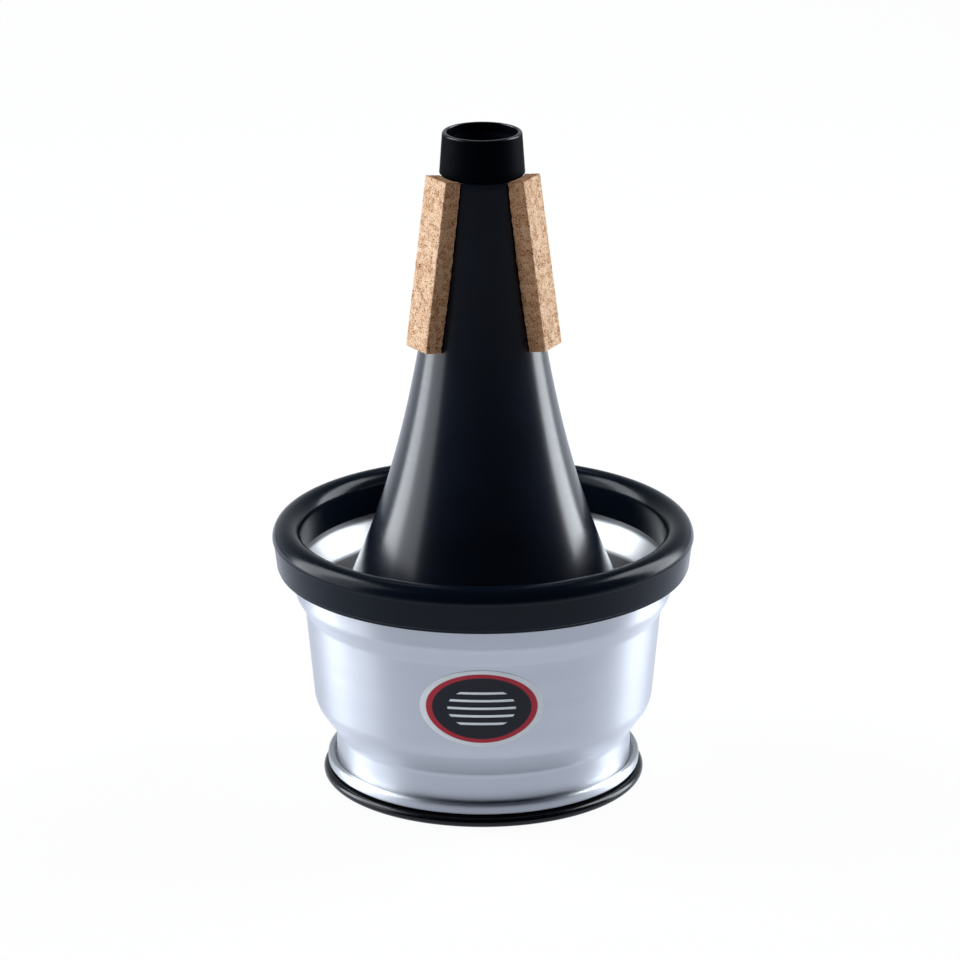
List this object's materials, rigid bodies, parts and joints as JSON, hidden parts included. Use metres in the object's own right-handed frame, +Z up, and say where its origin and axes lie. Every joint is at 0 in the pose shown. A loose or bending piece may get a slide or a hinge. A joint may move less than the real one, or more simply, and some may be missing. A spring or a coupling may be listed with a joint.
{
  "type": "adjustable cup mute",
  "caption": "Conical brass-instrument mute with cork strips at its neck and a sliding, removable spun cup with rubber edging around its wide end.",
  "frame": {"origin": "on the mute's axis, at the underside of the base ring, where the mute stands", "axes": "+Z up the mute's axis from the closed base to the open neck; -Y is the side that faces the viewer, midway between the left and right corks"},
  "size_m": [0.1178, 0.1178, 0.1863],
  "materials": {
    "black_lacquer": "satin black lacquer on spun aluminium",
    "black_end": "satin black lacquer on spun aluminium",
    "black_enamel": "gloss black enamel on a rolled aluminium seam",
    "matt_black": "matt black plastic",
    "cork": "agglomerated cork with dark grains",
    "spun_aluminium": "satin spun aluminium",
    "black_rubber": "satin black rubber",
    "grey_felt": "dense grey felt"
  },
  "bodies": {
    "mute_body": {"cone_shell": "black_lacquer", "end_plate": "black_end", "base_ring": "black_enamel", "neck_collar": "matt_black", "cork_left": "cork", "cork_right": "cork", "cork_rear": "cork"},
    "cup_grip": {"grip_band": "grey_felt"},
    "cup": {"cup_shell": "spun_aluminium", "cup_rim_ring": "black_rubber"}
  },
  "joints": [
    {"name": "cup_slide", "type": "slide", "parent": "mute_body", "child": "cup_grip", "axis": [0, 0, 1], "range_m": [0, 0.19]},
    {"name": "cup_turn", "type": "hinge", "parent": "cup_grip", "child": "cup", "pos_m": [0, 0, 0.0085], "axis": [0, 0, 1], "continuous": true}
  ]
}
